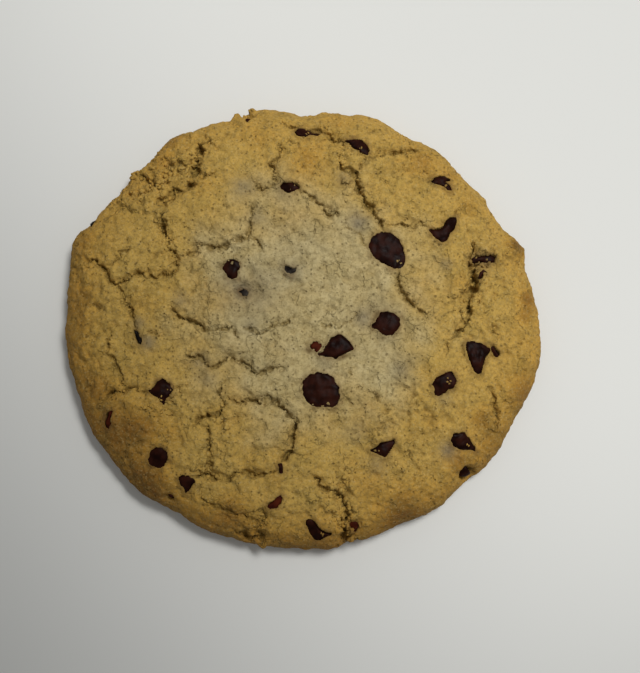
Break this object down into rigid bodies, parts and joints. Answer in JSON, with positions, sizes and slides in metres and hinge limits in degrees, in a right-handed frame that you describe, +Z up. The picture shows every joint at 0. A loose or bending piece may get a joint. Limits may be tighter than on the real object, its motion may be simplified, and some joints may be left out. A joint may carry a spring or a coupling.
{
  "type": "chocolate chip cookie",
  "caption": "Large soft-baked round cookie with an uneven rounded rim, a low cracked crown and dark chocolate chips set into it, resting on a flat underside.",
  "frame": {"origin": "centre of the footprint, at the level of the flat underside", "axes": "+Z up out of the baked top, -Z out of the flat underside; +Y is the side shown at the top of the picture"},
  "size_m": [0.1052, 0.0986, 0.0149],
  "materials": {
    "baked_dough": "dry, finely pitted crust",
    "dark_chocolate": "softly glossy"
  },
  "bodies": {
    "root": {"baked_dough": "baked_dough", "chip_01": "dark_chocolate", "chip_02": "dark_chocolate", "chip_03": "dark_chocolate", "chip_04": "dark_chocolate", "chip_05": "dark_chocolate", "chip_06": "dark_chocolate", "chip_07": "dark_chocolate", "chip_08": "dark_chocolate", "chip_09": "dark_chocolate", "chip_10": "dark_chocolate", "chip_11": "dark_chocolate", "chip_12": "dark_chocolate", "chip_13": "dark_chocolate", "chip_14": "dark_chocolate", "chip_15": "dark_chocolate", "chip_16": "dark_chocolate", "chip_17": "dark_chocolate", "chip_18": "dark_chocolate", "chip_19": "dark_chocolate", "chip_20": "dark_chocolate", "chip_21": "dark_chocolate", "chip_22": "dark_chocolate", "chip_23": "dark_chocolate", "chip_24": "dark_chocolate", "chip_25": "dark_chocolate", "chip_26": "dark_chocolate", "chip_27": "dark_chocolate", "chip_28": "dark_chocolate", "chip_29": "dark_chocolate", "chip_30": "dark_chocolate", "chip_31": "dark_chocolate", "chip_32": "dark_chocolate", "chip_33": "dark_chocolate"}
  },
  "joints": []
}
